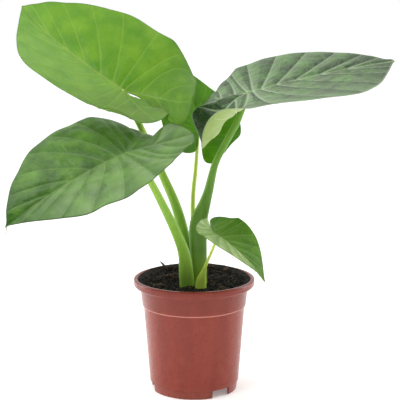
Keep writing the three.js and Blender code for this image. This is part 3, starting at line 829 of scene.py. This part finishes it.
def blade_mesh(name, leaf):
    """The bent blade as two skins joined at the rim, with what its materials read stored on its points."""
    cell = CELL if leaf["length"] > 150 else 0.7 * CELL
    flat, faces = blade_net(leaf, cell)
    faces = [tuple(f) for f in faces.tolist()]
    flat[np.abs(flat[:, 1]) < 1e-4, 1] = 0
    out, along = rim_share(leaf, flat)
    vein = np.zeros(len(flat))
    relief = np.zeros(len(flat))
    to_vein = np.full(len(flat), 1e3)
    nearest = np.zeros((len(flat), 3))
    lee = np.zeros(len(flat))
    for number, (path, start_width, end_width, rank) in enumerate(veins_of(leaf)):
        gap, share, left = distance_to(path, flat)
        width = start_width + (end_width - start_width) * share
        shown = (1, 0.8, 0.32)[rank] * np.exp(-(gap / width) ** 2)
        vein = np.maximum(vein, shown)
        relief = np.maximum(relief, shown * width)
        if rank < 2:
            ours = gap < to_vein
            reached = share * np.hypot(*np.diff(path, axis=0).T).sum()
            streak = np.column_stack((
                (reached - 0.9 * gap) / CREASE_GAP, gap / CREASE_REACH, gap * 0 + 5.3 * number))
            nearest[ours] = streak[ours]
            lee[ours] = np.where(left == (flat[:, 1] > 0), 1, -1)[ours] * (rank == 1)
            to_vein = np.minimum(to_vein, gap)
    creases = np.array([noise.noise(Vector(p)) for p in nearest])
    creases *= leaf["crumple"] * (1 - np.exp(-(to_vein / 3) ** 2)) * (1 - out ** 6)
    fine = np.array([noise.noise(Vector((*p, 0)) / 14) for p in flat])
    puff = leaf["quilt"] * (1 - np.exp(-to_vein / 7)) * (0.75 + 0.5 * fine) * (1 - out ** 6)
    frill = np.array([
        noise.noise(Vector((a * 16, b, leaf["length"]))) for a, b in zip(along, flat[:, 1] < 0)])
    wave = (leaf["ripple"] * out ** 3 * np.sin(math.tau * RIPPLES * along) + puff + creases
            + leaf["frill"] * frill * out ** 7)
    spread = 9 * leaf["length"] / 240
    # Painted bands beside each side vein: painted shade on one side, more painted sheen on the other.
    lee *= leaf["painted_vein_banding"] * (1 - np.exp(-(to_vein / 1.5) ** 2)) * np.exp(-to_vein / spread) * 1.3
    tipward = eased(flat[:, 0] - 0.5 * leaf["length"], 0.5 * leaf["length"])
    halves = 0.5 - 0.5 * np.tanh(flat[:, 1] / 2)
    # Painted sheen: a grey reflection painted on each half, less near the tip and on one side of each vein.
    bloom = leaf["bloom"][0] * (1 - halves) + leaf["bloom"][1] * halves
    bloom = np.clip(bloom * (0.6 - 0.7 * lee) * (1 - 0.9 * tipward), 0, 1)
    # Painted shade in the hollows of the lobes, where the painted sheen is taken away.
    lobeward = eased(-flat[:, 0], 0.6 * min(leaf["lobe"]))
    lobe_painted_shade = (leaf["lobe_shade"][0] * (1 - halves) + leaf["lobe_shade"][1] * halves) * lobeward
    bloom *= 1 - np.minimum(lobe_painted_shade, 1)
    # Painted shade: darker on one side of each side vein and in the lobes; the blade also darkens to its
    # tip.
    shade = np.clip(leaf["shade"] * (0.25 + 0.85 * np.maximum(lee, 0) + 0.9 * tipward) + lobe_painted_shade, 0, 1)
    half = np.where(out > 0.995, 0.2, BLADE_THICKNESS / 2)
    upper = bent(leaf, flat, wave + half - VEIN_SINK * relief)
    lower = bent(leaf, flat, wave - half - VEIN_RIDGE * relief)
    count = len(flat)
    edges = {}
    for face in faces:
        for a, b in zip(face, face[1:] + face[:1]):
            edges[(a, b)] = 1
    rim = [(a, b) for a, b in edges if (b, a) not in edges]
    polygons = list(faces) + [tuple(count + i for i in reversed(f)) for f in faces]
    polygons += [(b, a, count + a, count + b) for a, b in rim]
    mesh = bpy.data.meshes.new(name)
    mesh.from_pydata((np.vstack((upper, lower)) * MM + np.array(AXIS)).tolist(), [], polygons)
    mesh.shade_smooth()
    slots = np.zeros(len(polygons), int)
    slots[len(faces):] = 1
    mesh.polygons.foreach_set("material_index", slots)
    near_rim = np.clip((out - 0.978) / 0.018, 0, 1)
    stored = {"vein": vein, "puff": puff / leaf["quilt"], "rim": near_rim, "bloom": bloom, "shade": shade}
    for label, values in stored.items():
        mesh.attributes.new(label, "FLOAT", "POINT").data.foreach_set("value", np.tile(values, 2))
    corners = np.zeros(len(mesh.loops), int)
    mesh.loops.foreach_get("vertex_index", corners)
    uv = (flat * MM)[corners % count]
    mesh.uv_layers.new(name="flat").data.foreach_set("uv", uv.ravel())
    return mesh


def leaf_skin(name, tints, painted_sheen_colour, margin, sheen, see_through, glow, roughness, vein_share):
    """Living leaf: a waxy skin over green tissue that lets light through, with paler veins and margin.
    Painted sheen and painted shade are mixed into its colour.
    """
    body, deep, pale = (srgb(tint) for tint in tints)
    material, tree = blank_material(name)
    place = add(tree, "ShaderNodeUVMap", uv_map="flat").outputs[0]
    vein, rim, puff, bloom, shade = (
        add(tree, "ShaderNodeAttribute", attribute_name=label).outputs["Fac"]
        for label in ("vein", "rim", "puff", "bloom", "shade"))
    patches = add(tree, "ShaderNodeTexNoise", {"Vector": place, "Scale": 75.0, "Detail": 3.0}).outputs[0]
    clouds = add(tree, "ShaderNodeTexNoise", {"Vector": place, "Scale": 28.0, "Detail": 3.0}).outputs[0]
    net = add(tree, "ShaderNodeTexVoronoi", {"Vector": place, "Scale": 1 / (5 * MM)},
              feature="DISTANCE_TO_EDGE").outputs[0]
    grain = add(tree, "ShaderNodeTexNoise", {"Vector": place, "Scale": 900.0, "Detail": 3.0}).outputs[0]
    tissue = mixed(tree, ranged(tree, clouds, 0.35, 0.65), body, deep)
    # Painted shade: the tissue low in the quilting, next to the veins, is painted darker.
    crease_painted_shade = mixed(tree, ranged(tree, puff, 0.2, 1.0, 0.15, 0.0), tissue, deep)
    # Painted shade from the shade attribute, broken into patches.
    painted_shade_amount = add(tree, "ShaderNodeMath", {0: shade, 1: ranged(tree, patches, 0.35, 0.62, 0.45, 1.25)},
                 operation="MULTIPLY").outputs[0]
    shaded = mixed(tree, painted_shade_amount, crease_painted_shade, deep)
    # Painted sheen: a grey reflection mixed into the colour, in patches.
    painted_sheen_amount = add(tree, "ShaderNodeMath", {0: bloom, 1: ranged(tree, patches, 0.65, 0.4, 0.7, 1.0)},
                operation="MULTIPLY").outputs[0]
    with_painted_sheen = mixed(tree, painted_sheen_amount, shaded, srgb(painted_sheen_colour))
    netted = mixed(tree, ranged(tree, net, 0.0, 0.09, 0.1, 0.0), with_painted_sheen, pale)
    veined = mixed(tree, ranged(tree, vein, 0.05, 1.0, 0.0, vein_share), netted, pale)
    edged = mixed(tree, ranged(tree, rim, 0.2, 1.0, 0.0, 0.8), veined, srgb(margin))
    relief = add(tree, "ShaderNodeMath", {0: ranged(tree, net, 0.0, 0.25), 1: grain},
                 operation="ADD").outputs[0]
    bump = add(tree, "ShaderNodeBump", {"Height": relief, "Strength": 0.35, "Distance": 0.3 * MM}).outputs[0]
    shader = add(tree, "ShaderNodeBsdfPrincipled", {
        "Base Color": edged, "Roughness": roughness, "IOR": 1.45, "Specular IOR Level": 0.3, "Normal": bump,
        "Sheen Weight": sheen, "Sheen Roughness": 0.6})
    lit = mixed(tree, ranged(tree, vein, 0.05, 1.0, 0.0, 0.5), srgb(glow), pale)
    through = add(tree, "ShaderNodeBsdfTranslucent", {"Color": lit, "Normal": bump})
    both = add(tree, "ShaderNodeMixShader", {0: see_through, 1: shader.outputs[0], 2: through.outputs[0]})
    add(tree, "ShaderNodeOutputMaterial", {"Surface": both.outputs[0]})
    return material


for name, leaf in leaves.items():
    blade = mesh_object(f"leaf_blade_{name}", blade_mesh(f"leaf_blade_{name}", leaf))
    words = name.replace("_", " ")
    blade.data.materials.append(leaf_skin(
        f"Waxy upper skin, {words} leaf", leaf["tints"], leaf["painted_sheen_colour"], leaf["margin"], leaf["sheen"],
        leaf["see_through"], leaf["glow"], 0.42, leaf["vein_share"]))
    blade.data.materials.append(leaf_skin(
        f"Matt underside, {words} leaf", ("#a4b870", "#93ab5e", "#ccd79c"), "#b9c590", leaf["margin"],
        0.05, leaf["see_through"], leaf["glow"], 0.6, 0.85))
    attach(blade, "root")
    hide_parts(f"blade_{name}")


# ---------------------------------------------------------------------------------------------------------
# Stalks: fleshy leaf stalks, oval and thick at the base. They are solid and watery, with fine ribs along
# them, and paler at the foot.

# Each route lists x, y, z, half width and half depth in mm, from the pot's axis, up to the blade. Most of
# the upper places were worked out by a program, and some of them then moved.

routes = {
    "upper_left": [
        (-8, 12, 136, 9, 8), (-10, 12, 180, 9, 7.5), (-15, 13, 220, 8, 7), (-26, 19, 260, 6.8, 6.2),
        (-44, 30, 300, 5.8, 5.4), (-62, 39, 339, 5, 4.7), (-82, 36, 383, 4.4, 4.2)],
    "lower_left": [
        (-9, -5, 136, 10.7, 7), (-11, -9, 168, 10.2, 6.8), (-14, -15, 198, 8.4, 6), (-23, -24, 226, 7, 5.8),
        (-39.5, -42, 266, 5.7, 5.2), (-58.5, -61, 308, 4.8, 4.5), (-75, -75, 334, 4.2, 4)],
    "right": [
        (9, 4, 136, 9.6, 8.2), (6, 2, 190, 12, 7.6), (6, -1, 236, 12.3, 7), (15, -3, 267, 8.2, 6.4),
        (20.5, -4, 286, 6.4, 6), (29, -7, 322, 4.9, 4.9), (42, -9, 350, 4.7, 4.6),
        (57.6, -12, 379, 4.7, 4.5), (66.2, -13, 402, 4.9, 4.6)],
    "back": [
        (5, 20, 136, 4.8, 4), (0, 34, 205, 3.9, 3.6), (-2, 46, 248, 3.5, 3.4), (-1, 55, 275, 3.2, 3.1),
        (2, 65, 303, 2.9, 2.9), (4, 76, 332, 2.6, 2.6)],
    "small": [
        (8.8, -14, 136, 8.6, 5), (9.6, -14.6, 158, 7.4, 4.4), (12.8, -18, 172, 3.6, 2.8),
        (18, -25, 188, 2.2, 2.1), (24, -33, 204, 2, 1.9), (29, -40, 219, 1.8, 1.8)],
}
# Two greens for the body, then the foot's, then a lighter crown colour below the blade that is painted
# light.
stalk_tints = {
    "upper_left": ("#6c9a28", "#7ca834", "#84a84c", "#b8d864"),
    "lower_left": ("#7aa632", "#8ab43e", "#88ac4a", "#9cc04a"),
    "right": ("#4e781a", "#5e8826", "#a2c44a", "#6c9a30"),
    "back": ("#b0c654", "#c0d36c", "#a9bf61", "#c0d36c"),
    "small": ("#c4dc50", "#d6e480", "#bcdc58", "#d6e480"),
}


def stalk_tree():
    """A tapering oval stalk along a route whose points carry its half width and half depth."""
    tree = bpy.data.node_groups.new("Fleshy stalk along its route", "GeometryNodeTree")
    sockets = tree.interface
    sockets.new_socket("Geometry", in_out="INPUT", socket_type="NodeSocketGeometry")
    sockets.new_socket("Steps", in_out="INPUT", socket_type="NodeSocketInt")
    sockets.new_socket("Sides", in_out="INPUT", socket_type="NodeSocketInt")
    sockets.new_socket("Ribs", in_out="INPUT", socket_type="NodeSocketFloat")
    sockets.new_socket("Skin", in_out="INPUT", socket_type="NodeSocketMaterial")
    sockets.new_socket("Geometry", in_out="OUTPUT", socket_type="NodeSocketGeometry")
    given = add(tree, "NodeGroupInput").outputs
    curve = add(tree, "GeometryNodeMeshToCurve", {0: given["Geometry"]})
    smooth = add(tree, "GeometryNodeCurveSplineType", {0: curve.outputs[0]}, spline_type="CATMULL_ROM")
    fine = add(tree, "GeometryNodeResampleCurve", {"Curve": smooth.outputs[0], "Count": given["Steps"]})
    with_centre = add(tree, "GeometryNodeStoreNamedAttribute", {
        "Geometry": fine.outputs[0], "Name": "centre",
        "Value": add(tree, "GeometryNodeInputPosition").outputs[0]},
        data_type="FLOAT_VECTOR", domain="POINT")
    with_way = add(tree, "GeometryNodeStoreNamedAttribute", {
        "Geometry": with_centre.outputs[0], "Name": "way",
        "Value": add(tree, "GeometryNodeInputTangent").outputs[0]},
        data_type="FLOAT_VECTOR", domain="POINT")
    ring = add(tree, "GeometryNodeCurvePrimitiveCircle", {"Resolution": given["Sides"], "Radius": 1.0})
    tube = add(tree, "GeometryNodeCurveToMesh", {
        "Curve": with_way.outputs[0], "Profile Curve": ring.outputs[0], "Fill Caps": True})
    read = lambda label, kind: add(
        tree, "GeometryNodeInputNamedAttribute", {"Name": label}, data_type=kind).outputs[0]
    centre, way = read("centre", "FLOAT_VECTOR"), read("way", "FLOAT_VECTOR")
    half_width, half_depth = read("half_width", "FLOAT"), read("half_depth", "FLOAT")
    vector = lambda operation, *inputs: add(
        tree, "ShaderNodeVectorMath", dict(enumerate(inputs)), operation=operation).outputs
    number = lambda operation, *inputs: add(
        tree, "ShaderNodeMath", dict(enumerate(inputs)), operation=operation).outputs[0]
    wide = vector("NORMALIZE", vector("CROSS_PRODUCT", (0, -1, 0), way)[0])[0]
    deep = vector("NORMALIZE", vector("CROSS_PRODUCT", wide, way)[0])[0]
    spoke = vector("SUBTRACT", add(tree, "GeometryNodeInputPosition").outputs[0], centre)[0]
    across = vector("DOT_PRODUCT", spoke, wide)["Value"]
    toward = vector("DOT_PRODUCT", spoke, deep)["Value"]
    angle = number("ARCTAN2", toward, across)
    wave = number("MULTIPLY", number("SINE", number("MULTIPLY", angle, 17.0)), given["Ribs"])
    swell = number("ADD", wave, 1.0)
    sized = lambda share, half: number("MULTIPLY", number("MULTIPLY", share, half), swell)
    scaled = lambda direction, amount: add(
        tree, "ShaderNodeVectorMath", {0: direction, "Scale": amount}, operation="SCALE").outputs[0]
    sideways = scaled(wide, sized(across, half_width))
    forward = scaled(deep, sized(toward, half_depth))
    place = vector("ADD", centre, vector("ADD", sideways, forward)[0])[0]
    shaped = add(tree, "GeometryNodeSetPosition", {"Geometry": tube.outputs[0], "Position": place})
    soft = add(tree, "GeometryNodeSetShadeSmooth", {"Geometry": shaped.outputs[0]})
    real = add(tree, "GeometryNodeRealizeInstances", {0: soft.outputs[0]})
    skinned = add(tree, "GeometryNodeSetMaterial", {"Geometry": real.outputs[0], "Material": given["Skin"]})
    add(tree, "NodeGroupOutput", {0: skinned.outputs[0]})
    return tree


def stalk_skin(name, dark, light, foot, painted_light_crown):
    """Fleshy stalk: smooth, a little see-through, streaked along its length, tinted at the foot.
    Painted light brightens the crown below the blade.
    """
    material, tree = blank_material(name)
    place = add(tree, "ShaderNodeTexCoord").outputs["Object"]
    drawn = add(tree, "ShaderNodeMapping", {"Vector": place, "Scale": (300, 300, 10)}).outputs[0]
    streaks = add(tree, "ShaderNodeTexNoise", {"Vector": drawn, "Scale": 1.0, "Detail": 4.0}).outputs[0]
    broad = add(tree, "ShaderNodeTexNoise", {"Vector": place, "Scale": 45.0, "Detail": 2.0}).outputs[0]
    height = add(tree, "ShaderNodeSeparateXYZ", {0: place}).outputs["Z"]
    streaked = mixed(tree, ranged(tree, streaks, 0.35, 0.65), srgb(dark), srgb(light))
    clouded = mixed(tree, ranged(tree, broad, 0.4, 0.7, 0.0, 0.5), streaked, srgb(dark))
    footed = mixed(tree, ranged(tree, height, 0.2, 0.15, 0.0, 0.7), clouded, srgb(foot))
    # Painted light: the crown below the blade is lightened where the blade shades it.
    with_crown_painted_light = mixed(tree, ranged(tree, height, 0.25, 0.36, 0.0, 0.75), footed, srgb(painted_light_crown))
    bump = add(tree, "ShaderNodeBump", {"Height": streaks, "Strength": 0.2, "Distance": 0.3 * MM}).outputs[0]
    shader = add(tree, "ShaderNodeBsdfPrincipled", {
        "Base Color": with_crown_painted_light, "Roughness": 0.38, "IOR": 1.42, "Specular IOR Level": 0.4, "Normal": bump,
        "Subsurface Weight": 0.25, "Subsurface Radius": (0.0035, 0.005, 0.0012), "Subsurface Scale": 1.0})
    add(tree, "ShaderNodeOutputMaterial", {"Surface": shader.outputs[0]})
    return material


def route_mesh(name, route):
    """A chain of points in metres with the half sizes that the stalk tree reads."""
    points = [Vector(p[:3]) * MM + AXIS for p in route]
    mesh = bpy.data.meshes.new(name)
    mesh.from_pydata(points, [(i, i + 1) for i in range(len(points) - 1)], [])
    mesh.attributes.new("half_width", "FLOAT", "POINT").data.foreach_set("value", [p[3] * MM for p in route])
    mesh.attributes.new("half_depth", "FLOAT", "POINT").data.foreach_set("value", [p[4] * MM for p in route])
    return mesh


growing = stalk_tree()

# The lower left leaf ends in a withered thread, the dried drip tip, that hangs from its point.
tip = bent(leaves["lower_left"], np.array([(leaves["lower_left"]["length"] - 1.5, 0.0)]), 0)[0]
thread = [(*(tip + step), size, size) for step, size in (
    ((0, 0, 0), 0.55), ((0.3, 0, -4), 0.4), ((-1.4, 0, -9), 0.35), ((-2.4, 0, -14), 0.3),
    ((-2.8, 0, -18), 0.15))]
drip = grown("leaf_tip_thread", route_mesh("leaf_tip_thread", thread), growing, **{
    "Steps": 24, "Sides": 8, "Ribs": 0.0, "Skin": woody("Dried leaf tip", "#6d6a48", "#a3a07c", 1.0)})
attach(drip, "root")

for name, route in routes.items():
    leaf = leaves[name]
    ahead, left, up = blade_axes(leaf)
    joint = np.array(leaf["joint"], float)
    width = route[-1][3]
    top = joint - up * width
    tucked = joint + ahead * width - up * (0.6 * width)
    whole = route + [(*top, width * 0.95, width * 0.95), (*tucked, width * 0.5, width * 0.3)]
    stalk = grown(f"leaf_stalk_{name}", route_mesh(f"leaf_stalk_{name}", whole), growing, **{
        "Steps": 90, "Sides": 40, "Ribs": 0.003,
        "Skin": stalk_skin(f"Fleshy stalk, {name.replace('_', ' ')} leaf", *stalk_tints[name])})
    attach(stalk, "root")
    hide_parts(f"stalk_{name}")


# ---------------------------------------------------------------------------------------------------------
# Studio: a plain white floor and an even white surround, brighter behind and above the plant. One large
# softbox hangs over it at the left, and two upright strip lights edge it from the sides.
# The camera looks slightly down on the pot. Its aim, distance, pitch and lens are results of a fit.

AIM = AXIS + Vector((8.3, 0, 271)) * MM
DISTANCE = 1.85
PITCH = math.radians(10.7)


def white_surround():
    world = bpy.data.worlds.new("White studio")
    world.use_nodes = True
    tree = world.node_tree
    tree.nodes.clear()
    way = add(tree, "ShaderNodeTexCoord").outputs["Generated"]
    parts = add(tree, "ShaderNodeSeparateXYZ", {0: way})
    behind = ranged(tree, parts.outputs["Y"], -0.6, 0.5, 0.5, 1.0)
    above = ranged(tree, parts.outputs["Z"], 0.35, 0.9, 0.0, 0.4)
    strength = add(tree, "ShaderNodeMath", {0: behind, 1: above}, operation="ADD").outputs[0]
    light = add(tree, "ShaderNodeBackground", {"Color": (1, 1, 1, 1), "Strength": strength})
    add(tree, "ShaderNodeOutputWorld", {"Surface": light.outputs[0]})
    return world


bpy.context.scene.world = white_surround()

floor_mesh = bpy.data.meshes.new("studio_floor")
floor_mesh.from_pydata([(-6, -6, 0), (6, -6, 0), (6, 6, 0), (-6, 6, 0)], [], [(0, 1, 2, 3)])
floor = mesh_object("studio_floor", floor_mesh)
floor_paper, floor_tree = blank_material("White paper floor")
paper = add(floor_tree, "ShaderNodeBsdfPrincipled", {
    "Base Color": srgb("#f4f4f4"), "Roughness": 0.9, "Emission Color": (1, 1, 1, 1),
    "Emission Strength": 0.22})
add(floor_tree, "ShaderNodeOutputMaterial", {"Surface": paper.outputs[0]})
floor_mesh.materials.append(floor_paper)

softbox = bpy.data.lights.new("Softbox", "AREA")
softbox.shape = "RECTANGLE"
softbox.size = 1.2
softbox.size_y = 0.9
softbox.energy = 24
lamp = bpy.data.objects.new("softbox", softbox)
bpy.context.scene.collection.objects.link(lamp)
lamp.location = (-1.0, -0.7, 1.7)
lamp.rotation_euler = (AIM - lamp.location).to_track_quat("-Z", "Y").to_euler()

for side in (-1, 1):
    strip = bpy.data.lights.new("Strip light", "AREA")
    strip.shape = "RECTANGLE"
    strip.size = 0.35
    strip.size_y = 1.1
    strip.energy = 5
    lamp = bpy.data.objects.new("strip_light", strip)
    bpy.context.scene.collection.objects.link(lamp)
    lamp.location = (side * 0.95, 0.35, 0.4)
    lamp.rotation_euler = (AXIS + Vector((0, 0, 0.2)) - lamp.location).to_track_quat("-Z", "Y").to_euler()

camera_data = bpy.data.cameras.new("Camera")
camera_data.lens = 119.4
camera_data.sensor_width = 36
camera = bpy.data.objects.new("camera", camera_data)
bpy.context.scene.collection.objects.link(camera)
camera.location = AIM + Vector((0, -math.cos(PITCH), math.sin(PITCH))) * DISTANCE
camera.rotation_euler = (math.pi / 2 - PITCH, 0, 0)
bpy.context.scene.camera = camera
bpy.context.scene.view_settings.view_transform = "Standard"
